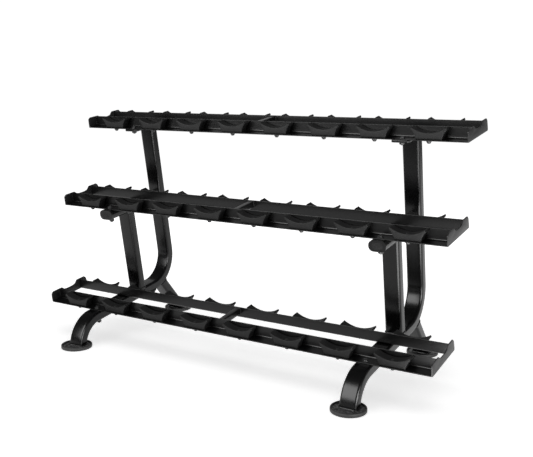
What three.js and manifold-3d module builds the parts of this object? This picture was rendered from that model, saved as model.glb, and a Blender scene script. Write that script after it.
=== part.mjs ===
// Three-tier dumbbell rack: two welded side frames carry three sloping shelves.
// Every shelf is a pair of folded rails, two end plates, a cross brace and two rows of cradles.
// Millimetres, +X along the shelves, +Y to the back, +Z up, floor at Z = 0.
import * as THREE from 'three';
import { mergeVertices } from 'three/addons/utils/BufferGeometryUtils.js';
import Module from 'manifold-3d';

const wasm = await Module();
wasm.setup();

// ---- shelves -------------------------------------------------------------------------
const SHELF_LENGTH = 2106;
const SHELF_DEPTH = 263;
const SHELF_TILT = THREE.MathUtils.degToRad(8.2);
const SHELF_FRONT = [
  { name: 'bottom', y: 0, z: 158.4 },
  { name: 'middle', y: 122, z: 662 },
  { name: 'top', y: 324, z: 1061 },
];
const SHEET = 4;
const FLANGE = 60;
const WALL_HEIGHT = 54;
const FOLD_RADIUS = 7;
const PLATE_THICKNESS = 5;
const BRACE_WIDTH = 30;
const BRACE_HEIGHT = 30;
const BRACE_TOP = 50;

// ---- cradles -------------------------------------------------------------------------
const CRADLE_COUNT = 8;
const CRADLE_END_SETBACK = 178;
const CRADLE_DEPTH = 44;
const CRADLE_CLEARANCE = 3.6;
const CRADLE_BASE = 116;
const CRADLE_SPAN = 153;
const CRADLE_THROAT = 28;
const CRADLE_RADIUS = 136;
const STUD_RADIUS = 4;
const NUT_RADIUS = 10.5;
const NUT_HEIGHT = 13;
const STUD_SETBACK = 13.6;

// ---- side frames ---------------------------------------------------------------------
const FRAME_SETBACK = 299.5;
const TUBE_WIDTH = 80;
const TUBE_DEPTH = 50;
const TUBE_CORNER = 10;
const TUBE_WALL = 3;
const ARM_HEIGHT = 50;
const ARM_CORNER = 20;
const ARM_OVERHANG = 16;
const TOP_PLATE = 10;
const TOP_PLATE_OVERHANG = 5;
const UPRIGHT_LEAN = THREE.MathUtils.degToRad(9.6);
const UPRIGHT_SEAT = 137.5;
const LEG_Y = -122;
const LEG_BEND = 136;
const REAR_BEND = 160;
const BEND_STEPS = 12;
const REAR_LEG_STEP = 3;

// ---- feet ----------------------------------------------------------------------------
const FRONT_FOOT_Y = -132;
const REAR_FOOT_Y = 688;
const PAD_RADIUS = 76;
const PAD_HEIGHT = 17;
const PAD_FLOOR = 5;
const PAD_RIM = 8;
const FOOT_PLATE = 6;
const FOOT_HOLE_RADIUS = 5;
const FOOT_HOLE_SETBACK = 15.4;

const GAP = 0.3;
const SADDLE_STRIP = 10;
const FOOT_TOP = PAD_FLOOR + GAP + FOOT_PLATE;
const DEPTH_CENTRE = (FRONT_FOOT_Y + REAR_FOOT_Y) / 2;

// ---- materials -----------------------------------------------------------------------
const coat = (r, g, b, roughness) =>
  new THREE.MeshStandardMaterial({ color: new THREE.Color(r, g, b), roughness, metalness: 0 });
const paintedSteel = () => coat(0.016, 0.016, 0.017, 0.36);
const plateSteel = () => coat(0.03, 0.03, 0.031, 0.5);
const cradlePlastic = () => coat(0.012, 0.012, 0.013, 0.55);
const footRubber = () => coat(0.01, 0.01, 0.01, 0.85);

// ---- solids --------------------------------------------------------------------------
function solid(geometry) {
  geometry.deleteAttribute('normal');
  geometry.deleteAttribute('uv');
  const welded = mergeVertices(geometry);
  return new wasm.Manifold(new wasm.Mesh({
    numProp: 3,
    vertProperties: new Float32Array(welded.getAttribute('position').array),
    triVerts: new Uint32Array(welded.index.array),
  }));
}

function toGeometry(body) {
  const { vertProperties, triVerts } = body.getMesh();
  const geometry = new THREE.BufferGeometry();
  geometry.setAttribute('position', new THREE.BufferAttribute(new Float32Array(vertProperties), 3));
  geometry.setIndex(new THREE.BufferAttribute(new Uint32Array(triVerts), 1));
  const flat = geometry.toNonIndexed();
  flat.computeVertexNormals();
  return flat;
}

function part(name, body, material) {
  const mesh = new THREE.Mesh(toGeometry(body), material);
  mesh.name = name;
  return mesh;
}

const polygon = (points) => new THREE.Shape(points.map(([x, y]) => new THREE.Vector2(x, y)));

function extrude(shape, depth, options = {}) {
  return new THREE.ExtrudeGeometry(shape, { depth, bevelEnabled: false, curveSegments: 3, ...options });
}

// A section drawn across the depth and height of the rack, run along the shelves from x0 to x1.
const ACROSS = new THREE.Matrix4().makeBasis(
  new THREE.Vector3(0, 1, 0), new THREE.Vector3(0, 0, 1), new THREE.Vector3(1, 0, 0));

function alongShelf(shape, x0, x1, options) {
  const geometry = extrude(shape, x1 - x0, options).applyMatrix4(ACROSS);
  return solid(geometry.translate(x0, 0, 0));
}

// A section drawn along the shelves and up, run from front to back.
const FRONTAL = new THREE.Matrix4().makeBasis(
  new THREE.Vector3(-1, 0, 0), new THREE.Vector3(0, 0, 1), new THREE.Vector3(0, 1, 0));

function frontToBack(shape, y0, y1) {
  return solid(extrude(shape, y1 - y0).applyMatrix4(FRONTAL).translate(0, y0, 0));
}

function post(sides, radius, x, y, z0, z1) {
  const geometry = new THREE.CylinderGeometry(radius, radius, z1 - z0, sides);
  return solid(geometry.rotateX(Math.PI / 2).translate(x, y, (z0 + z1) / 2));
}

function block(size, centre) {
  return solid(new THREE.BoxGeometry(...size).translate(...centre));
}

// ---- shelves -------------------------------------------------------------------------
const cradlePitch = (SHELF_LENGTH - 2 * CRADLE_END_SETBACK) / (CRADLE_COUNT - 1);
const cradleX = (i) => (i - (CRADLE_COUNT - 1) / 2) * cradlePitch;
const cradleFront = FLANGE - SHEET - CRADLE_CLEARANCE - CRADLE_DEPTH;
const frontStud = cradleFront + STUD_SETBACK;
const rearStud = SHELF_DEPTH - frontStud;
const mirrorDepth = (points) => points.map(([y, z]) => [SHELF_DEPTH - y, z]).reverse();

function railSection() {
  const fold = [];
  for (let i = 0; i <= 3; i += 1) {
    const a = -Math.PI / 2 + (i / 3) * (Math.PI / 2);
    const middle = FLANGE - FOLD_RADIUS;
    fold.push([middle + FOLD_RADIUS * Math.cos(a), FOLD_RADIUS + FOLD_RADIUS * Math.sin(a)]);
  }
  return [
    [0, 0], ...fold, [FLANGE, WALL_HEIGHT], [FLANGE - SHEET, WALL_HEIGHT],
    [FLANGE - SHEET, FOLD_RADIUS], [FLANGE - FOLD_RADIUS, SHEET], [0, SHEET],
  ];
}

function rail(name, section, studY) {
  const end = SHELF_LENGTH / 2 - PLATE_THICKNESS - GAP;
  let body = alongShelf(polygon(section), -end, end);
  for (let i = 0; i < CRADLE_COUNT; i += 1) {
    body = body.subtract(post(8, STUD_RADIUS + GAP, cradleX(i), studY, -1, SHEET + 1));
  }
  return part(name, body, paintedSteel());
}

// Two humps with a shallow dip between them; the back hump is the taller one.
function endPlateOutline() {
  const front = [
    [0, 0], [0, 41], [3, 47], [9, 51], [16, 53], [71, 54], [78, 52], [86, 46], [95, 41], [106, 38],
  ];
  const rear = [
    [SHELF_DEPTH / 2, 37], [SHELF_DEPTH - 106, 39], [SHELF_DEPTH - 95, 43], [SHELF_DEPTH - 87, 49],
    [SHELF_DEPTH - 80, 55], [SHELF_DEPTH - 72, 57], [SHELF_DEPTH - 27, 57], [SHELF_DEPTH - 18, 54],
    [SHELF_DEPTH - 9, 45], [SHELF_DEPTH - 2, 25], [SHELF_DEPTH, 12], [SHELF_DEPTH, 0],
  ];
  return [...front, ...rear].reverse();
}

function endPlate(name, side) {
  const outer = SHELF_LENGTH / 2;
  const x0 = side < 0 ? -outer : outer - PLATE_THICKNESS;
  return part(name, alongShelf(polygon(endPlateOutline()), x0, x0 + PLATE_THICKNESS), plateSteel());
}

function crossBrace(name) {
  const y0 = FLANGE + GAP;
  const y1 = SHELF_DEPTH - FLANGE - GAP;
  const z = BRACE_TOP - BRACE_HEIGHT / 2;
  const centre = [0, (y0 + y1) / 2, z];
  const outer = block([BRACE_WIDTH, y1 - y0, BRACE_HEIGHT], centre);
  const bore = block([BRACE_WIDTH - 2 * TUBE_WALL, y1 - y0 + 2, BRACE_HEIGHT - 2 * TUBE_WALL], centre);
  return part(name, outer.subtract(bore), paintedSteel());
}

function cradleOutline() {
  const floor = SHEET + GAP;
  const centreZ = floor + CRADLE_THROAT + CRADLE_RADIUS;
  const tip = Math.asin(CRADLE_SPAN / 2 / CRADLE_RADIUS);
  const arc = [];
  for (let i = 0; i <= 8; i += 1) {
    const a = -tip + (i / 8) * 2 * tip;
    arc.push([CRADLE_RADIUS * Math.sin(a), centreZ - CRADLE_RADIUS * Math.cos(a)]);
  }
  const top = arc[0][1];
  const base = CRADLE_BASE / 2;
  const reach = CRADLE_SPAN / 2 - base;
  const flank = [
    [base, floor],
    [base + 0.12 * reach, floor + 0.25 * (top - floor)],
    [base + 0.34 * reach, floor + 0.55 * (top - floor)],
    [base + 0.68 * reach, floor + 0.82 * (top - floor)],
    [base + reach + 2, top - 2],
  ];
  return [...flank.map(([x, z]) => [-x, z]).reverse(), ...flank, ...arc.reverse()];
}

function cradle(x, y0, studY) {
  const floor = SHEET + GAP;
  return frontToBack(polygon(cradleOutline()), y0, y0 + CRADLE_DEPTH).translate([x, 0, 0])
    .add(post(6, STUD_RADIUS, x, studY, -GAP - 1, floor + 1))
    .add(post(6, NUT_RADIUS, x, studY, -GAP - NUT_HEIGHT, -GAP));
}

// Neighbouring cradles share a thin base strip that lies on the rail against its wall.
function cradlePair(name, first, y0, studY, stripY) {
  const floor = SHEET + GAP;
  const xa = cradleX(first);
  const xb = cradleX(first + 1);
  const strip = block([xb - xa, SADDLE_STRIP, SHEET], [(xa + xb) / 2, stripY, floor + SHEET / 2]);
  const body = strip.add(cradle(xa, y0, studY)).add(cradle(xb, y0, studY));
  return part(name, body, cradlePlastic());
}

function shelf({ name, y, z }) {
  const group = new THREE.Group();
  group.name = `${name}_shelf`;
  const rearY = SHELF_DEPTH - cradleFront - CRADLE_DEPTH;
  const stripY = cradleFront + CRADLE_DEPTH - SADDLE_STRIP / 2;
  group.add(
    rail(`${name}_front_rail`, railSection(), frontStud),
    rail(`${name}_rear_rail`, mirrorDepth(railSection()), rearStud),
    endPlate(`${name}_end_plate_left`, -1),
    endPlate(`${name}_end_plate_right`, 1),
    crossBrace(`${name}_cross_brace`),
  );
  for (let i = 0; i < CRADLE_COUNT; i += 2) {
    const pair = `${i + 1}_${i + 2}`;
    group.add(
      cradlePair(`${name}_front_cradles_${pair}`, i, cradleFront, frontStud, stripY),
      cradlePair(`${name}_rear_cradles_${pair}`, i, rearY, rearStud, SHELF_DEPTH - stripY),
    );
  }
  group.rotation.x = SHELF_TILT;
  group.position.set(0, y, z);
  return group;
}

// ---- side frames ---------------------------------------------------------------------
const up = (angle) => [-Math.sin(angle), Math.cos(angle)];
const back = (angle) => [Math.cos(angle), Math.sin(angle)];
const move = ([y, z], [dy, dz], t) => [y + dy * t, z + dz * t];

function onShelf(index, y, z) {
  const { y: y0, z: z0 } = SHELF_FRONT[index];
  return move(move([y0, z0], back(SHELF_TILT), y), up(SHELF_TILT), z);
}

const unit = ([y, z]) => [y / Math.hypot(y, z), z / Math.hypot(y, z)];
const minus = (a, b) => [a[0] - b[0], a[1] - b[1]];
const dot = (a, b) => a[0] * b[0] + a[1] * b[1];
const cross = (a, b) => a[0] * b[1] - a[1] * b[0];
const crossing = (a, da, b, db) => move(a, da, cross(minus(b, a), db) / cross(da, db));

// Centre line through corner points, every inner corner rounded to its own radius.
function bentPath(corners, radii, steps) {
  const line = [];
  corners.forEach((corner, i) => {
    if (i === 0 || i === corners.length - 1) {
      const other = corners[i === 0 ? 1 : i - 1];
      const along = unit(i === 0 ? minus(other, corner) : minus(corner, other));
      line.push({ at: corner, along });
      return;
    }
    const before = unit(minus(corner, corners[i - 1]));
    const after = unit(minus(corners[i + 1], corner));
    const turn = Math.atan2(cross(before, after), dot(before, after));
    const start = move(corner, before, -radii[i - 1] * Math.tan(Math.abs(turn) / 2));
    const side = Math.sign(turn);
    const centre = move(start, [-before[1] * side, before[0] * side], radii[i - 1]);
    for (let k = 0; k <= steps; k += 1) {
      const a = (turn * k) / steps;
      const along = [
        before[0] * Math.cos(a) - before[1] * Math.sin(a),
        before[0] * Math.sin(a) + before[1] * Math.cos(a),
      ];
      line.push({ at: move(centre, [along[1] * side, -along[0] * side], radii[i - 1]), along });
    }
  });
  return line;
}

function ribbon(line, height) {
  const left = line.map(({ at, along }) => move(at, [-along[1], along[0]], height / 2));
  const right = line.map(({ at, along }) => move(at, [along[1], -along[0]], height / 2));
  return polygon([...right, ...left.reverse()]);
}

function lengthen(line, amount) {
  const last = line.length - 1;
  return line.map(({ at, along }, i) => {
    if (i === 0) return { at: move(at, along, -amount), along };
    return i === last ? { at: move(at, along, amount), along } : { at, along };
  });
}

function bar(line, width, height) {
  return alongShelf(ribbon(line, height), -width / 2, width / 2);
}

function roundedBar(line, width, height, radius, rounds) {
  const options = {
    bevelEnabled: true,
    bevelThickness: radius,
    bevelSize: radius,
    bevelOffset: -radius,
    bevelSegments: rounds,
  };
  return alongShelf(ribbon(line, height), -width / 2 + radius, width / 2 - radius, options);
}

// Tube with open ends: the rounded outside runs long and is cut back to the true ends.
function tube(line, height, radius, rounds) {
  const outside = roundedBar(lengthen(line, 2 * radius), TUBE_WIDTH, height, radius, rounds);
  const keep = bar(line, TUBE_WIDTH + 10, height + 10);
  const boreWidth = TUBE_WIDTH - 2 * TUBE_WALL;
  const boreHeight = height - 2 * TUBE_WALL;
  const bore = roundedBar(lengthen(line, 3 * radius), boreWidth, boreHeight, radius - TUBE_WALL, rounds);
  return outside.intersect(keep).subtract(bore);
}

const straight = (from, to) => {
  const along = unit(minus(to, from));
  return [{ at: from, along }, { at: to, along }];
};

const baseAxis = -GAP - TUBE_DEPTH / 2;
const armAxis = -GAP - ARM_HEIGHT / 2;
const armUnder = -GAP - ARM_HEIGHT;
const armSeat = onShelf(1, UPRIGHT_SEAT, armUnder);
const topSeat = onShelf(2, UPRIGHT_SEAT, -2 * GAP - TOP_PLATE);
const baseStart = onShelf(0, 0, baseAxis);
const baseDirection = back(SHELF_TILT);
const uprightDirection = up(UPRIGHT_LEAN);

function mainLine() {
  const front = crossing([LEG_Y, 0], [0, 1], baseStart, baseDirection);
  const rear = crossing(topSeat, uprightDirection, baseStart, baseDirection);
  return bentPath([[LEG_Y, -PAD_RADIUS], front, rear, topSeat], [LEG_BEND, REAR_BEND], BEND_STEPS);
}

function frontUprightLine() {
  return straight(crossing(armSeat, uprightDirection, baseStart, baseDirection), armSeat);
}

function middleArmLine() {
  const axis = onShelf(1, 0, armAxis);
  const rear = crossing(topSeat, uprightDirection, axis, baseDirection);
  return straight(onShelf(1, -ARM_OVERHANG, armAxis), rear);
}

// The rear leg runs from the middle of its foot plate to the lower part of the rear bend.
function rearLegLine() {
  const main = mainLine();
  const bend = main.length - 2 - BEND_STEPS;
  return straight([REAR_FOOT_Y, FOOT_TOP], main[bend + REAR_LEG_STEP].at);
}

// Solid envelopes of a piece, one gap larger all round, used to cut the ends that meet it.
const envelope = (line, height) => bar(lengthen(line, GAP), TUBE_WIDTH + 4, height + 2 * GAP);
const roundEnvelope = (line) =>
  roundedBar(lengthen(line, ARM_CORNER), TUBE_WIDTH + 2 * GAP, ARM_HEIGHT + 2 * GAP, ARM_CORNER, 4);

function circle(radius, sides, x = 0, y = 0) {
  const points = [];
  for (let i = 0; i < sides; i += 1) {
    const a = (i / sides) * 2 * Math.PI;
    points.push(new THREE.Vector2(x + radius * Math.cos(a), y + radius * Math.sin(a)));
  }
  return points;
}

function foot(name, y) {
  const seat = PAD_RADIUS - PAD_RIM;
  const pad = new THREE.LatheGeometry([
    [0, 0], [PAD_RADIUS - 2, 0], [PAD_RADIUS, 2], [PAD_RADIUS, PAD_HEIGHT - 3],
    [PAD_RADIUS - 3, PAD_HEIGHT], [seat, PAD_HEIGHT], [seat, PAD_FLOOR], [0, PAD_FLOOR],
  ].map(([r, h]) => new THREE.Vector2(r, h)), 28);
  const plateRadius = seat - 2 * GAP;
  const holeCircle = plateRadius - FOOT_HOLE_SETBACK;
  const plate = new THREE.Shape(circle(plateRadius, 28));
  for (let i = 0; i < 4; i += 1) {
    const a = (i + 0.5) * (Math.PI / 2);
    const at = [holeCircle * Math.cos(a), holeCircle * Math.sin(a)];
    plate.holes.push(new THREE.Path(circle(FOOT_HOLE_RADIUS, 8, ...at)));
  }
  const disc = extrude(plate, FOOT_PLATE).translate(0, y, PAD_FLOOR + GAP);
  return [
    part(`${name}_foot_pad`, solid(pad.rotateX(Math.PI / 2).translate(0, y, 0)), footRubber()),
    part(`${name}_foot_plate`, solid(disc), plateSteel()),
  ];
}

function topPlate(name) {
  const middle = -GAP - TOP_PLATE / 2;
  const front = onShelf(2, -TOP_PLATE_OVERHANG, middle);
  const rear = onShelf(2, SHELF_DEPTH + TOP_PLATE_OVERHANG, middle);
  return part(name, bar(straight(front, rear), TUBE_WIDTH, TOP_PLATE), paintedSteel());
}

function sideFrame(side, x) {
  const group = new THREE.Group();
  group.name = `${side}_frame`;
  const ground = block([2 * TUBE_WIDTH, 2000, 200], [0, 0, FOOT_TOP + GAP - 100]);
  const main = mainLine();
  const mainCut = envelope(main, TUBE_DEPTH);
  const middleArm = middleArmLine();
  const topCut = block([2 * TUBE_WIDTH, 2000, 400], [0, 0, 200 - 2 * GAP - TOP_PLATE])
    .rotate([THREE.MathUtils.radToDeg(SHELF_TILT), 0, 0])
    .translate([0, SHELF_FRONT[2].y, SHELF_FRONT[2].z]);
  const mainTube = tube(lengthen(main, 12), TUBE_DEPTH, TUBE_CORNER, 2)
    .subtract(topCut)
    .subtract(ground);
  const upright = tube(lengthen(frontUprightLine(), 12), TUBE_DEPTH, TUBE_CORNER, 2)
    .subtract(roundEnvelope(middleArm))
    .subtract(mainCut);
  const leg = tube(lengthen(rearLegLine(), 8), TUBE_DEPTH, TUBE_CORNER, 2)
    .subtract(mainCut)
    .subtract(ground);
  const arm = tube(middleArm, ARM_HEIGHT, ARM_CORNER, 4).subtract(mainCut);
  group.add(
    part(`${side}_main_tube`, mainTube, paintedSteel()),
    part(`${side}_front_upright`, upright, paintedSteel()),
    part(`${side}_middle_arm`, arm, paintedSteel()),
    topPlate(`${side}_top_plate`),
    part(`${side}_rear_leg`, leg, paintedSteel()),
    ...foot(`${side}_front`, FRONT_FOOT_Y),
    ...foot(`${side}_rear`, REAR_FOOT_Y),
  );
  group.position.x = x;
  return group;
}

const rack = new THREE.Group();
rack.name = 'dumbbell_rack';
SHELF_FRONT.forEach((row) => rack.add(shelf(row)));
const frameX = SHELF_LENGTH / 2 - FRAME_SETBACK;
rack.add(sideFrame('left', -frameX), sideFrame('right', frameX));
rack.position.y = -DEPTH_CENTRE;

export default rack;
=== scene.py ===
import math

import bmesh
import bpy
import numpy as np
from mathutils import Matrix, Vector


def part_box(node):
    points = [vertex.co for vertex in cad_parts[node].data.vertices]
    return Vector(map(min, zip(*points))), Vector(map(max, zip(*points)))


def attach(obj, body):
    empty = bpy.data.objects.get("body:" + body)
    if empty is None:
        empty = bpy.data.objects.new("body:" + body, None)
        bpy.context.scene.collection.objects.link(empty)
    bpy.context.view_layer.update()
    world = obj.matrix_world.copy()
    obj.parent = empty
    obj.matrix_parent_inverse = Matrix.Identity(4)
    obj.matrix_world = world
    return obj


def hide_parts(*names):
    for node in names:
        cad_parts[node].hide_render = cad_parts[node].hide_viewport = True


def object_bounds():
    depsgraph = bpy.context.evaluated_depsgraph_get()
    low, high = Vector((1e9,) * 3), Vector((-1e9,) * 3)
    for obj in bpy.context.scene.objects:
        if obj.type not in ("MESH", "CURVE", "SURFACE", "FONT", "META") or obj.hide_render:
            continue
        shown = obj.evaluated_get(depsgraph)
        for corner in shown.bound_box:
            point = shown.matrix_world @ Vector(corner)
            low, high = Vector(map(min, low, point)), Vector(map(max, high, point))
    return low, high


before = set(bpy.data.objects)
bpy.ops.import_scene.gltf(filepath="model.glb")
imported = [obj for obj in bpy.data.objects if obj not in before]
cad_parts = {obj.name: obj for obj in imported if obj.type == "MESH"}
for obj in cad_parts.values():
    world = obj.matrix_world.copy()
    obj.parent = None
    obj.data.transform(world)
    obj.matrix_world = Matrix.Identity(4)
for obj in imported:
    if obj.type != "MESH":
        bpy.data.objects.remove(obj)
cad_low, cad_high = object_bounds()


# ---- Rails ------------------------------------------------------------------------------
# Each shelf stands on two rails of 4 mm steel sheet, folded once into an L with the walls
# facing each other. They are cut and folded on a press brake, then powder coated black.


class Value:
    """A shader socket. Adding, subtracting, multiplying or raising it adds a Math node for that."""

    def __init__(self, tree, socket):
        self.tree, self.socket = tree, socket

    def math(self, operation, *values):
        node = self.tree.nodes.new("ShaderNodeMath")
        node.operation = operation
        for place, value in zip(node.inputs, values):
            if isinstance(value, Value):
                self.tree.links.new(value.socket, place)
            else:
                place.default_value = value
        return Value(self.tree, node.outputs[0])

    def __add__(self, other):
        return self.math("ADD", self, other)

    def __sub__(self, other):
        return self.math("SUBTRACT", self, other)

    def __rsub__(self, other):
        return self.math("SUBTRACT", other, self)

    def __mul__(self, other):
        return self.math("MULTIPLY", self, other)

    def __pow__(self, other):
        return self.math("POWER", self, other)

    def clip(self):
        return self.math("MINIMUM", self.math("MAXIMUM", self, 0.0), 1.0)

    __radd__, __rmul__ = __add__, __mul__


class Finish:
    """A material: one Principled shader, and nodes added one at a time with node()."""

    def __init__(self, name, **constants):
        self.material = bpy.data.materials.new(name)
        self.material.use_nodes = True
        self.tree = self.material.node_tree
        self.shader = self.tree.nodes["Principled BSDF"]
        self.set(self.shader, constants)

    def set(self, node, values):
        for key, value in values.items():
            place = node.inputs[key]
            if isinstance(value, Value):
                self.tree.links.new(value.socket, place)
            else:
                place.default_value = value

    def node(self, kind, settings=None, output=0, **values):
        node = self.tree.nodes.new("ShaderNode" + kind)
        for key, value in (settings or {}).items():
            if key == "stops":
                ramp = node.color_ramp
                for k, (at, colour) in enumerate(value):
                    stop = ramp.elements[k] if k < 2 else ramp.elements.new(at)
                    stop.position, stop.color = at, (*colour, 1)
            else:
                setattr(node, key, value)
        self.set(node, {key.replace("_", " "): value for key, value in values.items()})
        return Value(self.tree, node.outputs[output])

    def noise(self, scale, detail=2.0, stretch=(1, 1, 1)):
        place = self.node("TexCoord", output=3)
        if stretch != (1, 1, 1):
            place = self.node("Mapping", Vector=place, Scale=stretch)
        return self.node("TexNoise", Vector=place, Scale=scale, Detail=detail)

    def ramp(self, value, *stops):
        return self.node("ValToRGB", {"stops": stops}, Fac=value)

    def edges(self, radius):
        """1 on a sharp outer edge and 0 elsewhere: how far a rounded normal leaves the true one."""
        round_normal = self.node("Bevel", {"samples": 4}, Radius=radius)
        true_normal = self.node("NewGeometry", output=1)
        node = self.tree.nodes.new("ShaderNodeVectorMath")
        node.operation = "DOT_PRODUCT"
        self.tree.links.new(round_normal.socket, node.inputs[0])
        self.tree.links.new(true_normal.socket, node.inputs[1])
        return (1 - Value(self.tree, node.outputs["Value"])).clip()

    def mix(self, factor, a, b):
        node = self.tree.nodes.new("ShaderNodeMix")
        node.data_type = "RGBA"
        for place, value in ((0, factor), (6, a), (7, b)):
            if isinstance(value, Value):
                self.tree.links.new(value.socket, node.inputs[place])
            else:
                node.inputs[place].default_value = value if place == 0 else (*value, 1)
        return Value(self.tree, node.outputs[2])

    def bump(self, height, distance, strength=1.0, normal=None):
        values = {"Height": height, "Distance": distance, "Strength": strength}
        if normal is not None:
            values["Normal"] = normal
        return self.node("Bump", **values)


def powder_coat(name, colour, roughness, peel, shine=0.32):
    """Powder coat: fine orange peel, slow drifts of gloss and tone, dust grains, paler worn edges."""
    coat = Finish(name, **{"IOR": 1.5, "Specular IOR Level": shine})
    drift = coat.noise(7.0, 3.0)
    grain = coat.noise(420.0, 2.0)
    peel_height = coat.noise(210.0, 3.0)
    specks = coat.ramp(coat.noise(900.0, 1.0), (0.66, (0, 0, 0)), (0.78, (1, 1, 1)))
    worn = (coat.edges(0.0022) * coat.noise(60.0, 4.0) * 3.2).clip()
    tone = coat.mix(drift, tuple(0.75 * c for c in colour), tuple(1.25 * c for c in colour))
    tone = coat.mix(specks * 0.25, tone, tuple(3.0 * c + 0.01 for c in colour))
    coat.set(coat.shader, {
        "Base Color": coat.mix(worn * 0.5, tone, tuple(3.5 * c + 0.012 for c in colour)),
        "Roughness": (roughness - 0.05 + 0.1 * drift + 0.05 * grain + 0.1 * worn).clip(),
        "Normal": coat.bump(peel_height * 0.7 + specks * 0.3, peel, 0.35),
    })
    return coat.material


def sheet_of(name, points, closed=True, caps="face"):
    """A surface from a grid of points: points[i, j] is profile point j at station i.
    Neighbouring stations are joined by four-sided faces, and the profile closes on itself if closed.
    Each end gets one face, or with caps "ladder" a strip of them between the profile's two halves."""
    n, m = points.shape[:2]
    i, j = np.meshgrid(np.arange(n - 1), np.arange(m if closed else m - 1), indexing="ij")
    k = (j + 1) % m
    quads = np.stack([i * m + j, i * m + k, (i + 1) * m + k, (i + 1) * m + j], -1).reshape(-1, 4)
    faces = quads.tolist()
    last = (n - 1) * m
    if caps == "face":
        faces += [list(range(m))[::-1], list(range(last, last + m))]
    if caps == "ladder":
        rungs = np.array([[k, k + 1, m - 2 - k, m - 1 - k] for k in range(m // 2 - 1)])
        faces += rungs[:, ::-1].tolist() + (rungs + last).tolist()
    mesh = bpy.data.meshes.new(name)
    mesh.from_pydata(points.reshape(-1, 3).tolist(), [], faces)
    return mesh


def piece(name, meshes, material, nodes=(), sharp=32):
    """One object on the rack's only body, made of one or more meshes, smooth but for its sharp edges."""
    whole = bmesh.new()
    for mesh in meshes if isinstance(meshes, list) else [meshes]:
        whole.from_mesh(mesh)
    bmesh.ops.recalc_face_normals(whole, faces=whole.faces)
    mesh = bpy.data.meshes.new(name)
    whole.to_mesh(mesh)
    whole.free()
    mesh.materials.append(material)
    mesh.shade_smooth()
    mesh.set_sharp_from_angle(angle=math.radians(sharp))
    made = bpy.data.objects.new(name, mesh)
    bpy.context.scene.collection.objects.link(made)
    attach(made, "root")
    if nodes:
        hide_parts(*nodes)
    return made


def rounded(corners, radii, steps=6):
    """A closed outline with every corner turned into an arc: corner + r tan(a/2) back along each
    side gives the arc's ends, and its points lie on the circle that touches both sides."""
    corners = np.asarray(corners, float)
    n = len(corners)
    out = []
    for k in range(n):
        r = radii[k] if hasattr(radii, "__len__") else radii
        before = corners[k] - corners[k - 1]
        after = corners[(k + 1) % n] - corners[k]
        before, after = before / np.linalg.norm(before), after / np.linalg.norm(after)
        turn = math.atan2(before[0] * after[1] - before[1] * after[0], before @ after)
        if r <= 0 or abs(turn) < 1e-4:
            out.append(corners[k][None])
            continue
        side = math.copysign(1, turn)
        start = corners[k] - before * r * math.tan(abs(turn) / 2)
        centre = start + side * r * np.array([-before[1], before[0]])
        a = np.linspace(0, turn, steps + 1)
        arm = start - centre
        arc = np.stack([arm[0] * np.cos(a) - arm[1] * np.sin(a), arm[0] * np.sin(a) + arm[1] * np.cos(a)], -1)
        out.append(centre + arc)
    return np.concatenate(out)


flange, wall, sheet = 0.060, 0.054, 0.004
outer_fold, inner_fold = 0.0105, 0.0065
gap = 0.0003


class Shelf:
    """Where a shelf lies: the front lower edge (y, z) and the slope, read off its two CAD rails.
    The rails' highest edges are depth - 2 flange + sheet apart."""

    depth = 0.263

    def __init__(self, name):
        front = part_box(f"{name}_front_rail")
        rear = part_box(f"{name}_rear_rail")
        self.slope = math.asin((rear[1].z - front[1].z) / (self.depth - 2 * flange + sheet))
        self.z = front[0].z
        self.y = rear[1].y - self.depth * math.cos(self.slope)
        self.ends = (front[0].x, front[1].x)

    def at(self, points):
        """(x, depth from the front edge, height off the shelf's underside) to the rack's frame."""
        p = np.asarray(points, float)
        c, s = math.cos(self.slope), math.sin(self.slope)
        y = self.y + p[..., 1] * c - p[..., 2] * s
        z = self.z + p[..., 1] * s + p[..., 2] * c
        return np.stack([p[..., 0], y, z], -1)


shelves = {name: Shelf(name) for name in ("bottom", "middle", "top")}
shelf_coat = powder_coat("shelf_powder_coat", (0.0038, 0.0038, 0.004), 0.27, 0.00012)

rail_outline = rounded(
    [(0, 0), (flange, 0), (flange, wall), (flange - sheet, wall), (flange - sheet, sheet), (0, sheet)],
    [0.0007, outer_fold, 0.0012, 0.0012, inner_fold, 0.0012], 8)

for name, shelf in shelves.items():
    x = np.linspace(*shelf.ends, 41)
    for row, outline in (("front", rail_outline), ("rear", rail_outline * (-1, 1) + (shelf.depth, 0))):
        grid = np.empty((len(x), len(outline), 3))
        grid[..., 0] = x[:, None]
        grid[..., 1:] = outline
        node = f"{name}_{row}_rail"
        piece(f"{name}_{row}_folded_rail", sheet_of(node, shelf.at(grid)), shelf_coat, [node])


# ---- End plates -------------------------------------------------------------------------
# A 5 mm laser-cut steel plate closes each end of a shelf, with a hump at the front and a taller
# one at the back. It is welded to the rail ends from inside and coated a little rougher than them.

plate_coat = powder_coat("end_plate_powder_coat", (0.016, 0.016, 0.0164), 0.40, 0.00014)
plate_outline = rounded(
    [(0, 0), (0.263, 0), (0.263, 0.013), (0.2555, 0.046), (0.244, 0.057), (0.187, 0.057),
     (0.171, 0.040), (0.150, 0.037), (0.113, 0.037), (0.092, 0.040), (0.076, 0.054), (0.013, 0.054),
     (0, 0.045)],
    [0.002, 0.002, 0.004, 0.009, 0.008, 0.009, 0.016, 0.03, 0.03, 0.016, 0.010, 0.009, 0.010], 6)


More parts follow.
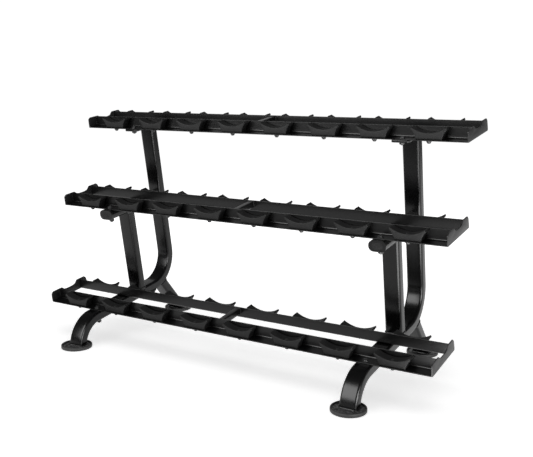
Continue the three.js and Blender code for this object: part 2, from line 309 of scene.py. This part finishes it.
def plate(outline, x0, x1, soft):
    """A plate between x0 and x1: the outline is drawn in by the soft-edge radius r(1 - sin a) while
    x runs r(1 - cos a), so both rims are quarter rounds."""
    centre = outline.mean(0)
    tangent = np.roll(outline, -1, 0) - np.roll(outline, 1, 0)
    normal = np.stack([tangent[:, 1], -tangent[:, 0]], -1)
    normal /= np.linalg.norm(normal, axis=1)[:, None]
    a = np.linspace(0, math.pi / 2, 4)
    inset = np.concatenate([soft * (1 - np.sin(a)), soft * (1 - np.sin(a))[::-1]])
    along = np.concatenate([x0 + soft * (1 - np.cos(a)), (x1 - soft * (1 - np.cos(a)))[::-1]])
    grid = np.empty((len(along), len(outline), 3))
    grid[..., 0] = along[:, None]
    grid[..., 1:] = outline - normal * inset[:, None, None]
    return grid


for name, shelf in shelves.items():
    for side in ("left", "right"):
        node = f"{name}_end_plate_{side}"
        low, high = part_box(node)
        grid = shelf.at(plate(plate_outline, low.x, high.x, 0.0008))
        piece(f"{name}_{side}_end_plate", sheet_of(node, grid), plate_coat, [node])


# ---- Weld beads -------------------------------------------------------------------------
# The plates, braces and tubes are joined by hand-laid MIG fillets under the same black coat.
# A bead is a half-buried round with a ripple for every step of the torch.

bead_coat = powder_coat("weld_powder_coat", (0.0045, 0.0045, 0.0047), 0.32, 0.00015)


def bead(points, radius=0.0032, pitch=0.0032, sides=10):
    """A ripple-sided tube: circles of radius r (0.94 + 0.13 |sin(pi s / pitch)|) about a polyline,
    at distance s along it, in planes square to it. Its two ends are half as thick."""
    points = np.asarray(points, float)
    steps = np.linalg.norm(np.diff(points, axis=0), axis=1)
    s = np.concatenate([[0], np.cumsum(steps)])
    t = np.linspace(0, s[-1], max(6, int(s[-1] / pitch * 3)))
    centre = np.stack([np.interp(t, s, points[:, k]) for k in range(3)], -1)
    ahead = np.gradient(centre, axis=0)
    ahead /= np.linalg.norm(ahead, axis=1)[:, None]
    side = np.cross(ahead, (0.31, 0.17, 0.94))
    side /= np.linalg.norm(side, axis=1)[:, None]
    up = np.cross(side, ahead)
    a = np.linspace(0, 2 * math.pi, sides, endpoint=False)
    r = radius * (0.94 + 0.13 * np.abs(np.sin(math.pi * t / pitch)))
    r[[0, -1]] *= 0.5
    ring = np.cos(a)[None, :, None] * side[:, None] + np.sin(a)[None, :, None] * up[:, None]
    return sheet_of("bead", centre[:, None] + ring * r[:, None, None])


fine_bead = 0.0022
for name, shelf in shelves.items():
    beads = []
    for x, inward in ((shelf.ends[0], 1), (shelf.ends[1], -1)):
        edge = x + inward * 0.0012
        for path in (
            [(edge, 0.004, 0.0045), (edge, 0.050, 0.0045)],
            [(edge, 0.0555, 0.010), (edge, 0.0555, 0.050)],
            [(edge, 0.213, 0.0045), (edge, 0.259, 0.0045)],
            [(edge, 0.2075, 0.010), (edge, 0.2075, 0.050)],
        ):
            beads.append(bead(shelf.at(path), fine_bead))
    piece(f"{name}_end_plate_welds", beads, bead_coat)


# ---- Cross braces -----------------------------------------------------------------------
# A short 30 mm square tube at mid-length ties the two rails of each shelf together.
# It is cut square and welded to the inner faces of both walls.


def boxed_bar(x0, x1, y0, y1, z0, z1, corner, steps=5):
    """A bar running front to back: a rounded rectangle in (x, z) at the two ends y0 and y1."""
    outline = rounded([(x0, z0), (x1, z0), (x1, z1), (x0, z1)], corner, steps)
    grid = np.empty((5, len(outline), 3))
    grid[..., 0], grid[..., 2] = outline[:, 0], outline[:, 1]
    grid[..., 1] = np.linspace(y0, y1, 5)[:, None]
    return grid


brace_under, brace_top = 0.020, 0.050
brace_bead = 0.0026
for name, shelf in shelves.items():
    node = f"{name}_cross_brace"
    low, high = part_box(node)
    bar = boxed_bar(low.x, high.x, flange, shelf.depth - flange, brace_under, brace_top, 0.0045)
    piece(f"{name}_square_brace", sheet_of(node, shelf.at(bar)), shelf_coat, [node])
    beads = []
    for depth in (flange + 0.0006, shelf.depth - flange - 0.0006):
        for x in (low.x, high.x):
            upright = [(x, depth, brace_under + 0.002), (x, depth, brace_top - 0.002)]
            beads.append(bead(shelf.at(upright), brace_bead))
        across = [(low.x, depth, brace_top), (high.x, depth, brace_top)]
        beads.append(bead(shelf.at(across), brace_bead))
    piece(f"{name}_brace_welds", beads, bead_coat)


# ---- Cradles ----------------------------------------------------------------------------
# Each dumbbell head lies in a saddle moulded in black plastic: a block with flared tips at both
# sides and a round trough across its top. One bolt through the rail, with an acorn nut, holds it.

cradle_plastic = Finish("moulded_black_plastic", **{"IOR": 1.48, "Specular IOR Level": 0.29})
mould_grain = cradle_plastic.noise(1500.0, 2.0)
flow = cradle_plastic.noise(22.0, 3.0, (1.0, 2.5, 0.6))
patchy = cradle_plastic.noise(95.0, 4.0, (0.5, 2.0, 1.0))
# Paler patches on the cradles' sharp edges are painted highlight: the lit rims of the moulding, put into the
# base colour and broken up by noise.
painted_rim_highlight = (cradle_plastic.edges(0.003) * patchy * 3.0).clip()
cradle_plastic.set(cradle_plastic.shader, {
    # The base colour turns pale grey on the edges as painted highlight.
    "Base Color": cradle_plastic.mix(
        painted_rim_highlight * 0.55, cradle_plastic.mix(flow, (0.0035, 0.0035, 0.0036), (0.0068, 0.0068, 0.0070)),
        (0.055, 0.055, 0.056)),
    "Roughness": (0.44 + 0.12 * flow + 0.06 * mould_grain + 0.08 * patchy).clip(),
    "Normal": cradle_plastic.bump(mould_grain * 0.8 + patchy * 0.2, 0.00028, 0.5),
})

cradle_floor = sheet + gap
cradle_setback, cradle_depth, cradle_pitch = 0.0084, 0.044, 0.250
throat = 0.028
bowl = 0.136
span = 0.153
base_width = 0.116
flare, tip_height = 0.0036, 0.0078


def cradle_section():
    """The front outline of a cradle as two curves with as many points, left tip to right tip: below,
    the flared flank t -> 0.3 t + 0.7 t^2.2 of the overhang, the flat base and the other flank; above,
    the trough's arc of radius bowl. A tip is a blunt edge tip_height tall, flare wider at its foot."""
    tip = math.asin(span / 2 / bowl)
    top = cradle_floor + throat + bowl * (1 - math.cos(tip))
    t = np.linspace(1, 0, 15)
    reach = base_width / 2 + (span / 2 + flare - base_width / 2) * (0.3 * t + 0.7 * t**2.2)
    flank = np.stack([reach, cradle_floor + (top - tip_height - cradle_floor) * t], -1)
    base = np.stack([np.linspace(-base_width / 2, base_width / 2, 21)[1:-1], np.full(19, cradle_floor)], -1)
    below = np.concatenate([flank * (-1, 1), base, flank[::-1]])
    a = np.linspace(-tip, tip, len(below))
    above = np.stack([bowl * np.sin(a), cradle_floor + throat + bowl * (1 - np.cos(a))], -1)
    return below, above


def cradle_mesh(shelf, x, y0, y1):
    """The section carried from y0 to y1. Over the last r at each end it is drawn in by
    r (1 - sin a) while y runs r (1 - cos a), so each moulded edge is a quarter round; r is the
    smaller of 2.2 mm and 0.3 of the section's local thickness."""
    below, above = cradle_section()
    thick = np.linalg.norm(above - below, axis=1)
    outline = np.concatenate([below, above[::-1]])
    soft = np.minimum(0.0022, 0.3 * np.concatenate([thick, thick[::-1]]))
    tangent = np.roll(outline, -1, 0) - np.roll(outline, 1, 0)
    normal = np.stack([tangent[:, 1], -tangent[:, 0]], -1)
    normal /= np.linalg.norm(normal, axis=1)[:, None]
    a = np.linspace(0, math.pi / 2, 6)
    draw = (1 - np.sin(a))[:, None] * soft
    near = y0 + (1 - np.cos(a))[:, None] * soft
    far = y1 - (1 - np.cos(a))[:, None] * soft
    share = np.linspace(0, 1, 8)[1:-1, None]
    y = np.concatenate([near, near[-1] + (far[-1] - near[-1]) * share, far[::-1]])
    inset = np.concatenate([draw, np.zeros((6, len(outline))), draw[::-1]])
    grid = np.empty((len(y), len(outline), 3))
    grid[..., 0] = x + outline[:, 0] - normal[:, 0] * inset
    grid[..., 1] = y
    grid[..., 2] = outline[:, 1] - normal[:, 1] * inset
    return sheet_of("cradle", shelf.at(grid), caps="ladder")


def turned(profile, sides, shelf, x, depth, facets=None):
    """A turned part on the shelf's upright axis: profile rows (radius, height) spun round it. With
    facets the radius becomes r / cos(angle to the nearest flat), a hexagon's."""
    profile = np.asarray(profile, float)
    a = np.linspace(0, 2 * math.pi, sides, endpoint=False)
    swell = np.ones((len(profile), sides))
    if facets is not None:
        off = (a + math.pi / 6) % (math.pi / 3) - math.pi / 6
        swell[facets] = 1 / np.cos(off)
    grid = np.empty((len(profile), sides, 3))
    grid[..., 0] = x + profile[:, :1] * swell * np.cos(a)
    grid[..., 1] = depth + profile[:, :1] * swell * np.sin(a)
    grid[..., 2] = profile[:, 1:]
    return sheet_of("turned", shelf.at(grid))


fixing = Finish("black_zinc_fixings", **{"IOR": 1.6})
plating = fixing.noise(160.0, 3.0)
rubbed = (fixing.edges(0.0012) * fixing.noise(240.0, 3.0) * 3.0).clip()
fixing.set(fixing.shader, {
    "Base Color": fixing.mix(
        rubbed, fixing.mix(plating, (0.007, 0.007, 0.0075), (0.016, 0.016, 0.017)), (0.08, 0.08, 0.08)),
    "Roughness": (0.42 + 0.14 * plating + 0.1 * rubbed).clip(),
    "Metallic": (0.10 + 0.40 * rubbed).clip(),
    "Normal": fixing.bump(plating, 0.0002, 0.4),
})

acorn_nut = [
    (0.0052, -0.0014), (0.0092, -0.0014), (0.0098, -0.0022), (0.0098, -0.0072), (0.0092, -0.0080),
    (0.0089, -0.0100), (0.0080, -0.0122), (0.0062, -0.0139), (0.0034, -0.0148), (0.0002, -0.0150),
]
washer = [(0.0035, 0.0), (0.0112, 0.0), (0.0115, -0.0005), (0.0112, -0.0014), (0.0035, -0.0014)]
head_z = cradle_floor + throat
trough_head = [
    (0.0074, head_z - 0.003), (0.0076, head_z - 0.0012), (0.0072, head_z + 0.0001),
    (0.0055, head_z + 0.0011), (0.0030, head_z + 0.0018), (0.0002, head_z + 0.0020),
]
bolt_depth = 0.022

for name, shelf in shelves.items():
    for row in ("front", "rear"):
        for first in (1, 3, 5, 7):
            node = f"{name}_{row}_cradles_{first}_{first + 1}"
            low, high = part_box(node)
            reach = (high.x - low.x - span) / 2
            centre = (low.x + high.x) / 2
            y0 = cradle_setback if row == "front" else shelf.depth - cradle_setback - cradle_depth
            for number, x in ((first, centre - reach), (first + 1, centre + reach)):
                body = cradle_mesh(shelf, x, y0, y0 + cradle_depth)
                piece(f"{name}_{row}_cradle_{number}", body, cradle_plastic.material,
                      [node] if number == first else [], 40)
        bolts = []
        depth = bolt_depth if row == "front" else shelf.depth - bolt_depth
        for number in range(8):
            x = (number - 3.5) * cradle_pitch
            bolts.append(turned(acorn_nut, 36, shelf, x, depth, [1, 2, 3]))
            bolts.append(turned(washer, 28, shelf, x, depth))
            bolts.append(turned(trough_head, 28, shelf, x, depth))
        piece(f"{name}_{row}_cradle_bolts", bolts, fixing.material, [], 30)


# ---- Side frame tubes -------------------------------------------------------------------
# Each side frame is bent from one length of 80 x 50 mm flat-sided steel tube: a foot bend, a base
# beam under the bottom shelf, a rear bend and a leaning upright. A front upright, an oval arm under
# the middle shelf and a splayed rear leg of the same width are welded to it.

frame_coat = powder_coat("frame_powder_coat", (0.0034, 0.0034, 0.0036), 0.20, 0.00012, 0.28)
lean = math.radians(9.6)
slope = shelves["bottom"].slope
tube_width, tube_depth, tube_corner = 0.080, 0.050, 0.0125
arm_height, arm_corner, arm_overhang = 0.050, 0.0225, 0.016
foot_bend, rear_bend, bend_steps = 0.136, 0.160, 28
seat_depth = 0.1375
bar = 0.010
bar_under = -gap - bar
frame_bead, foot_bead = 0.0036, 0.0040
along_shelf = np.array([math.cos(slope), math.sin(slope)])
square_to_shelf = np.array([-math.sin(slope), math.cos(slope)])
along_upright = np.array([-math.sin(lean), math.cos(lean)])
forward, upward = np.array([1.0, 0.0]), np.array([0.0, 1.0])


def spot(shelf, depth, height):
    """(y, z) of the point at that depth behind a shelf's front edge and height off its underside."""
    return shelf.at((0, depth, height))[1:]


def meet(a, da, b, db):
    """The point where the line from a along da crosses the line from b along db."""
    cross = da[0] * db[1] - da[1] * db[0]
    return a + da * ((b - a)[0] * db[1] - (b - a)[1] * db[0]) / cross


def bent_line(corners, radii):
    """A centre line of straights and arcs, with the direction at every point: each inner corner is
    an arc that touches both straights."""
    places, ways = [corners[0]], [(corners[1] - corners[0]) / np.linalg.norm(corners[1] - corners[0])]
    for k in range(1, len(corners) - 1):
        before = (corners[k] - corners[k - 1]) / np.linalg.norm(corners[k] - corners[k - 1])
        after = (corners[k + 1] - corners[k]) / np.linalg.norm(corners[k + 1] - corners[k])
        turn = math.atan2(before[0] * after[1] - before[1] * after[0], before @ after)
        side = math.copysign(1, turn)
        start = corners[k] - before * radii[k - 1] * math.tan(abs(turn) / 2)
        centre = start + side * radii[k - 1] * np.array([-before[1], before[0]])
        for a in np.linspace(0, turn, bend_steps):
            way = np.array([before[0] * math.cos(a) - before[1] * math.sin(a),
                            before[0] * math.sin(a) + before[1] * math.cos(a)])
            places.append(centre + side * radii[k - 1] * np.array([way[1], -way[0]]))
            ways.append(way)
    places.append(corners[-1])
    ways.append((corners[-1] - corners[-2]) / np.linalg.norm(corners[-1] - corners[-2]))
    return np.array(places), np.array(ways)


def rectangle(width, depth, corner, steps):
    """A rectangle's outline about the origin, with rounded corners."""
    w, d = width / 2, depth / 2
    return rounded([(-w, -d), (w, -d), (w, d), (-w, d)], corner, steps)


def straight_line(start, end, way, stations):
    """A centre line from start to end, with the same direction at every point."""
    return np.linspace(start, end, stations), np.repeat(way[None], stations, 0)


def tube_mesh(line, x, width, depth, corner, cut=None):
    """A rounded rectangle (width along x, depth across the line) at every point of the line."""
    places, ways = line
    outline = rectangle(width, depth, corner, 8)
    across = np.stack([-ways[:, 1], ways[:, 0]], -1)
    grid = np.empty((len(places), len(outline), 3))
    grid[..., 0] = x + outline[:, 0]
    grid[..., 1:] = places[:, None] + across[:, None] * outline[:, 1, None]
    if cut is not None:
        grid = cut(grid)
    return sheet_of("tube", grid)


def above(line, height):
    """The line without its first points, those lower than height."""
    keep = int(np.argmax(line[0][:, 1] > height))
    return line[0][keep:], line[1][keep:]


def slide_to(index, point, normal):
    """Moves the tube's end ring along the tube until it lies in the plane through point."""

    def cut(grid):
        other = 1 if index == 0 else -2
        way = grid[index, 0] - grid[other, 0]
        way = way / np.linalg.norm(way)
        for k in range(grid.shape[1]):
            p = grid[index, k]
            grid[index, k] = p + way * (((point - p) @ normal) / (way @ normal))
        return grid

    return cut


def ring(x, centre, way, width, reach, corner=tube_corner):
    """The weld's path round a tube's footprint: a rounded rectangle in the plane of x and way."""
    outline = rectangle(width, 2 * reach, corner, 5)
    outline = np.concatenate([outline, outline[:1]])
    out = np.empty((len(outline), 3))
    out[:, 0] = x + outline[:, 0]
    out[:, 1:] = centre + outline[:, 1:] * way
    return out


bottom, middle, top = (shelves[n] for n in ("bottom", "middle", "top"))
base = spot(bottom, 0, -gap - tube_depth / 2)
top_seat = spot(top, seat_depth, bar_under - gap)
arm_seat = spot(middle, seat_depth, -gap - arm_height)
arm_axis = spot(middle, 0, -gap - arm_height / 2)
tilt_reach = tube_depth / 2 / math.cos(lean + slope)
arm_weld = 0.023

# The rear leg's axis meets the main tube's at the eighth point of its rear bend.
leg_joint = 1 + bend_steps + 7

for side in ("left", "right"):
    tube_low, tube_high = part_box(f"{side}_main_tube")
    x = (tube_low.x + tube_high.x) / 2
    foot_top = tube_low.z
    foot_cut = slide_to(0, np.array([x, 0, foot_top]), np.array([0, 0, 1.0]))
    top_cut = slide_to(-1, np.array([x, *spot(top, 0, bar_under - gap)]), np.array([0, *square_to_shelf]))

    foot = np.array([tube_low.y + tube_depth / 2, foot_top])
    front_corner = meet(foot, upward, base, along_shelf)
    rear_corner = meet(top_seat, along_upright, base, along_shelf)
    corners = [np.array([foot[0], -0.05]), front_corner, rear_corner, top_seat]
    main = bent_line(corners, [foot_bend, rear_bend])
    mesh = tube_mesh(above(main, foot_top + 0.001), x, tube_width, tube_depth, tube_corner,
                     lambda grid: foot_cut(top_cut(grid)))
    piece(f"{side}_bent_main_tube", mesh, frame_coat, [f"{side}_main_tube"])

    arm_front = spot(middle, -arm_overhang, -gap - arm_height / 2)
    arm_rear = meet(top_seat, along_upright, arm_axis, along_shelf)
    line = straight_line(arm_front, arm_rear - along_shelf * (tube_depth / 2 - 0.004), along_shelf, 9)
    mesh = tube_mesh(line, x, tube_width, arm_height, arm_corner)
    piece(f"{side}_oval_arm", mesh, frame_coat, [f"{side}_middle_arm"])

    upright_foot = meet(arm_seat, along_upright, base, along_shelf)
    line = straight_line(upright_foot, arm_seat + along_upright * 0.012, along_upright, 17)
    mesh = tube_mesh(line, x, tube_width, tube_depth, tube_corner)
    piece(f"{side}_front_upright_tube", mesh, frame_coat, [f"{side}_front_upright"])

    pad_low, pad_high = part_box(f"{side}_rear_foot_pad")
    leg_foot = np.array([(pad_low.y + pad_high.y) / 2, foot_top])
    leg_head, bend_way = main[0][leg_joint], main[1][leg_joint]
    leg_way = (leg_head - leg_foot) / np.linalg.norm(leg_head - leg_foot)
    line = straight_line(leg_foot, leg_head - leg_way * 0.012, leg_way, 9)
    mesh = tube_mesh(line, x, tube_width, tube_depth, tube_corner, foot_cut)
    piece(f"{side}_splayed_rear_leg", mesh, frame_coat, [f"{side}_rear_leg"])

    on_beam = meet(arm_seat, along_upright, base + square_to_shelf * (tube_depth / 2), along_shelf)
    arm_end = arm_rear - along_shelf * tilt_reach
    leg_top = leg_head - leg_way * (tube_depth / 2)
    beads = [bead(ring(x, on_beam, along_shelf, tube_width, tilt_reach), frame_bead)]
    for reach in (-tilt_reach, tilt_reach):
        place = arm_seat + along_shelf * reach
        beads.append(bead([(x - arm_weld, *place), (x + arm_weld, *place)], frame_bead))
    for path in (
        ring(x, top_seat, along_shelf, tube_width, tilt_reach),
        ring(x, arm_end, along_upright, tube_width - 0.002, arm_height / 2, arm_corner),
        ring(x, leg_top, bend_way, tube_width - 0.002, tube_depth / 2 + 0.001),
    ):
        beads.append(bead(path, frame_bead))
    for y, reach in ((foot[0], tube_depth / 2), (leg_foot[0], tube_depth / 2 / leg_way[1])):
        path = ring(x, np.array([y, foot_top + 0.0005]), forward, tube_width, reach)
        beads.append(bead(path, foot_bead))
    piece(f"{side}_frame_welds", beads, bead_coat)


# ---- Top plates -------------------------------------------------------------------------
# A flat 10 mm steel bar welded on top of each upright carries the top shelf, bolted through
# both rails. Its corners are rounded and it is coated with the frame.

bar_overhang = 0.005
rise = np.array([bar_under, bar_under + 0.0004, bar_under + 0.0012,
                 -gap - 0.0012, -gap - 0.0004, -gap])
inset = np.array([0.0012, 0.0004, 0.0, 0.0, 0.0004, 0.0012])
for side in ("left", "right"):
    node = f"{side}_top_plate"
    low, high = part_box(node)
    size = np.array([high.x - low.x, top.depth + 2 * bar_overhang])
    outline = rectangle(*size, 0.008, 6)
    grid = np.empty((len(rise), len(outline), 3))
    grid[..., :2] = outline * (1 - 2 * inset[:, None, None] / size)
    grid[..., 0] += (low.x + high.x) / 2
    grid[..., 1] += top.depth / 2
    grid[..., 2] = rise[:, None]
    piece(f"{side}_shelf_mounting_bar", sheet_of(node, top.at(grid)), frame_coat, [node])


# ---- Shelf bolts ------------------------------------------------------------------------
# Hex bolts with washers hold every rail down: their heads sit on the rail between two cradles and
# their nuts hang under the base beam, the middle arm or the top plate.


def hexagon_profile(z, sign, r, tall):
    """A washer and the head or nut on it, from its seat at z upwards (sign 1) or downwards (-1)."""
    rows = [(0.0145, 0.0), (0.0148, 0.0008), (0.0145, 0.0018), (r, 0.0018), (r, tall - 0.0006),
            (r * 0.9, tall), (0.0062, tall), (0.0060, tall - 0.0007), (0.0002, tall - 0.0007)]
    return [(radius, z + sign * height) for radius, height in rows]


shelf_bolt_depth = 0.0225
seats = {
    "bottom": (-gap - tube_depth, 0.024),
    "middle": (-gap - arm_height, 0.018),
    "top": (bar_under, 0.012),
}
for side in ("left", "right"):
    low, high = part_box(f"{side}_top_plate")
    x = (low.x + high.x) / 2
    for name, shelf in shelves.items():
        under, tall = seats[name]
        tip = under - tall
        stub = [(0.0058, tip + 0.0030), (0.0058, tip - 0.0030), (0.0050, tip - 0.0039),
                (0.0002, tip - 0.0040)]
        bolts = []
        for depth in (shelf_bolt_depth, shelf.depth - shelf_bolt_depth):
            bolts.append(turned(hexagon_profile(sheet, 1, 0.0098, 0.0078), 36, shelf, x, depth, [3, 4, 5]))
            bolts.append(turned(hexagon_profile(under, -1, 0.0106, tall), 36, shelf, x, depth, [3, 4, 5]))
            bolts.append(turned(stub, 20, shelf, x, depth))
        piece(f"{side}_{name}_shelf_bolts", bolts, fixing.material, [], 30)


# ---- Arm caps ---------------------------------------------------------------------------
# The open front end of each middle arm is closed by a pressed-in moulded cap: a slightly domed
# oval disc with a rounded lip that covers the tube's wall.

cap_plastic = Finish("moulded_cap_plastic", **{"IOR": 1.48, "Specular IOR Level": 0.24})
cap_grain = cap_plastic.noise(1300.0, 2.0)
cap_flow = cap_plastic.noise(40.0, 3.0)
cap_plastic.set(cap_plastic.shader, {
    "Base Color": cap_plastic.mix(cap_flow, (0.006, 0.006, 0.0062), (0.012, 0.012, 0.0123)),
    "Roughness": (0.46 + 0.12 * cap_flow + 0.05 * cap_grain).clip(),
    "Normal": cap_plastic.bump(cap_grain, 0.0003, 0.5),
})
outline = rectangle(tube_width, arm_height, arm_corner, 12)
scale = np.array([1.0, 1.0, 0.985, 0.955, 0.925, 0.90, 0.6, 0.25, 0.02])
out = np.array([0.0004, 0.0021, 0.0031, 0.0034, 0.0031, 0.0026, 0.0034, 0.0038, 0.0039])
cap_seat = 0.0034 - arm_overhang
for side in ("left", "right"):
    low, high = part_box(f"{side}_middle_arm")
    x = (low.x + high.x) / 2
    grid = np.empty((len(scale), len(outline), 3))
    grid[..., 0] = x + outline[:, 0] * scale[:, None]
    grid[..., 1] = cap_seat - out[:, None]
    grid[..., 2] = -gap - arm_height / 2 + outline[:, 1] * scale[:, None]
    piece(f"{side}_arm_end_cap", sheet_of("cap", middle.at(grid)), cap_plastic.material)


# ---- Feet -------------------------------------------------------------------------------
# A round steel plate welded under each tube end sits in a dished pad of moulded black rubber with
# a raised rim and a stippled top, held by four screws. The rubber keeps the rack off the floor.

foot_rubber = Finish("moulded_foot_rubber", **{"IOR": 1.48})
crumb = foot_rubber.node("TexVoronoi", Vector=foot_rubber.node("TexCoord", output=3), Scale=330.0)
dirt = foot_rubber.noise(30.0, 4.0)
foot_rubber.set(foot_rubber.shader, {
    "Base Color": foot_rubber.mix(dirt, (0.014, 0.014, 0.014), (0.040, 0.0395, 0.039)),
    "Roughness": (0.50 + 0.25 * dirt).clip(),
    "Normal": foot_rubber.bump(crumb, 0.0008, 0.6),
})
foot_coat = Finish("textured_foot_plate_coat", **{"IOR": 1.5, "Specular IOR Level": 0.5})
pebbles = foot_coat.noise(150.0, 3.0)
patches = foot_coat.ramp(foot_coat.noise(95.0, 3.0), (0.42, (0, 0, 0)), (0.62, (1, 1, 1)))
foot_coat.set(foot_coat.shader, {
    "Base Color": foot_coat.mix(patches, (0.016, 0.016, 0.016), (0.12, 0.12, 0.122)),
    "Roughness": (0.30 + 0.25 * pebbles).clip(),
    "Normal": foot_coat.bump(pebbles, 0.0030, 0.8),
})


class Ground:
    """The floor as a shelf with no slope, so that turned() can stand parts on it."""

    def __init__(self, y):
        self.y = y

    def at(self, points):
        p = np.array(points, float)
        p[..., 1] += self.y
        return p


pad_rim, pad_floor = 0.0082, 0.005
screw_circle = 0.052
for side in ("left", "right"):
    for end in ("front", "rear"):
        pad = f"{side}_{end}_foot_pad"
        disc = f"{side}_{end}_foot_plate"
        low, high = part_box(pad)
        disc_low, disc_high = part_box(disc)
        x = (low.x + high.x) / 2
        place = Ground((low.y + high.y) / 2)

        r, z = (high.x - low.x) / 2, high.z
        section = [
            (0.001, 0.0002), (r - 0.006, 0.0002), (r - 0.003, 0.0), (r - 0.0008, 0.0009), (r, 0.003),
            (r, z - 0.0045), (r - 0.0009, z - 0.0016), (r - 0.003, z - 0.0002), (r - 0.0048, z),
            (r - 0.0066, z - 0.0004), (r - 0.0078, z - 0.0016), (r - pad_rim, z - 0.0035),
            (r - pad_rim, pad_floor), (0.001, pad_floor),
        ]
        piece(f"{side}_{end}_rubber_foot", turned(section, 96, place, x, 0), foot_rubber.material,
              [pad])

        r, z = (disc_high.x - disc_low.x) / 2, disc_high.z
        section = [
            (0.001, disc_low.z), (r - 0.001, disc_low.z), (r, disc_low.z + 0.001), (r, z - 0.0016),
            (r - 0.0006, z - 0.0005), (r - 0.0018, z), (0.001, z),
        ]
        piece(f"{side}_{end}_steel_foot_disc", turned(section, 96, place, x, 0), foot_coat.material,
              [disc])

        head = [(0.0088, z), (0.0088, z + 0.0006), (0.0078, z + 0.0018), (0.0058, z + 0.0027),
                (0.0034, z + 0.0030), (0.0032, z + 0.0008), (0.0002, z + 0.0007)]
        screws = []
        for number in range(4):
            a = (number + 0.5) * math.pi / 2
            screws.append(turned(head, 28, place, x + screw_circle * math.cos(a), screw_circle * math.sin(a)))
        piece(f"{side}_{end}_foot_screws", screws, fixing.material, [], 30)


# ---- Studio -----------------------------------------------------------------------------
# A plain pale paper floor that ends softly in front of the rack, and a white backdrop. Soft panels
# stand overhead, in front, behind and at the right, one of them low; the rest of the room is dim.

paper = Finish("white_paper", Roughness=0.9)
paper_place = paper.node("TexCoord", output=3)
paper_x = paper.node("SeparateXYZ", output=0, Vector=paper_place)
paper_y = paper.node("SeparateXYZ", output=1, Vector=paper_place)
distance = (paper_x * paper_x + paper_y * paper_y) ** 0.5
# The paper glows with painted light: 0.60 within 0.9 m of the centre, rising to 1.02 beyond 2.9 m, so the far
# floor reads white while the lamps' shadows still show near the rack.
glow = 0.60 + 0.42 * ((distance - 0.9) * 0.5).clip()
paper.set(paper.shader, {
    "Base Color": paper.mix(paper.noise(3.0, 3.0), (0.90, 0.90, 0.90), (0.93, 0.93, 0.93)),
    "Specular IOR Level": 0.0,
    # Painted light: the floor emits its own glow, weaker near the rack.
    "Emission Color": paper.mix(glow, (0, 0, 0), (1, 1, 1)),
    "Emission Strength": 1.0,
    "Alpha": ((paper_y + 2.3) * 1.2).clip(),
})
floor_line = np.linspace(-9, 9, 31)
grid = np.stack(np.meshgrid(floor_line, floor_line, [0.0], indexing="ij"), -1)[:, :, 0]
floor_mesh = sheet_of("floor", grid, closed=False, caps=None)
floor_mesh.materials.append(paper.material)
floor = bpy.data.objects.new("studio_floor", floor_mesh)
bpy.context.scene.collection.objects.link(floor)

world = bpy.data.worlds.new("studio")
world.use_nodes = True
tree = world.node_tree
backdrop = tree.nodes["Background"]
backdrop.inputs["Color"].default_value = (1, 1, 1, 1)
backdrop.inputs["Strength"].default_value = 1.02
room = tree.nodes.new("ShaderNodeBackground")
room.inputs["Color"].default_value = (1, 1, 1, 1)
room.inputs["Strength"].default_value = 0.10
seen = tree.nodes.new("ShaderNodeLightPath")
either = tree.nodes.new("ShaderNodeMixShader")
tree.links.new(seen.outputs["Is Camera Ray"], either.inputs[0])
tree.links.new(room.outputs[0], either.inputs[1])
tree.links.new(backdrop.outputs[0], either.inputs[2])
tree.links.new(either.outputs[0], tree.nodes["World Output"].inputs["Surface"])
bpy.context.scene.world = world


def panel(name, place, target, size, radiance, lights=True, mirrored=True):
    """A soft light at place, facing target. Its power is radiance x area x pi. It lights matt
    surfaces, is mirrored in glossy ones, or both."""
    light = bpy.data.lights.new(name, "AREA")
    light.shape = "RECTANGLE"
    light.size, light.size_y = size
    light.energy = radiance * size[0] * size[1] * math.pi
    made = bpy.data.objects.new(name, light)
    made.location = place
    way = Vector(target) - Vector(place)
    made.rotation_euler = way.to_track_quat("-Z", "Y").to_euler()
    made.visible_camera = False
    made.visible_diffuse = lights
    made.visible_glossy = mirrored
    bpy.context.scene.collection.objects.link(made)


panel("overhead_panel", (0.0, -0.2, 3.3), (0, 0, 0.4), (5.5, 3.6), 1.25, mirrored=False)
panel("front_panel", (-0.9, -2.9, 1.95), (0, 0, 0.3), (3.6, 2.5), 7.5, lights=False)
panel("back_panel", (-1.0, 4.2, 1.9), (0, 0, 0.8), (7.0, 2.4), 0.5)
panel("right_board", (3.9, -1.6, 0.75), (0.7, 0, 0.6), (2.4, 1.5), 14.0, lights=False)
panel("right_back_strip", (3.6, 1.8, 1.4), (0, 0, 0.6), (0.8, 2.0), 0.4)
panel("right_low_board", (1.9, -0.9, 0.03), (1.9, -0.9, 1.0), (1.9, 1.2), 9.0, lights=False)

middle_y = (cad_low.y + cad_high.y) / 2
yaw, pitch = math.radians(31.75), math.radians(10.374)
camera = bpy.data.cameras.new("camera")
camera.sensor_width = 36.0
camera.lens = 798.0 / 533.0 * 36.0
view_from = bpy.data.objects.new("camera", camera)
view_from.location = (2.070, middle_y - 3.166, 1.304)
view_from.rotation_euler = (math.pi / 2 - pitch, 0, yaw)
bpy.context.scene.collection.objects.link(view_from)
bpy.context.scene.camera = view_from
bpy.context.scene.view_settings.view_transform = "Standard"
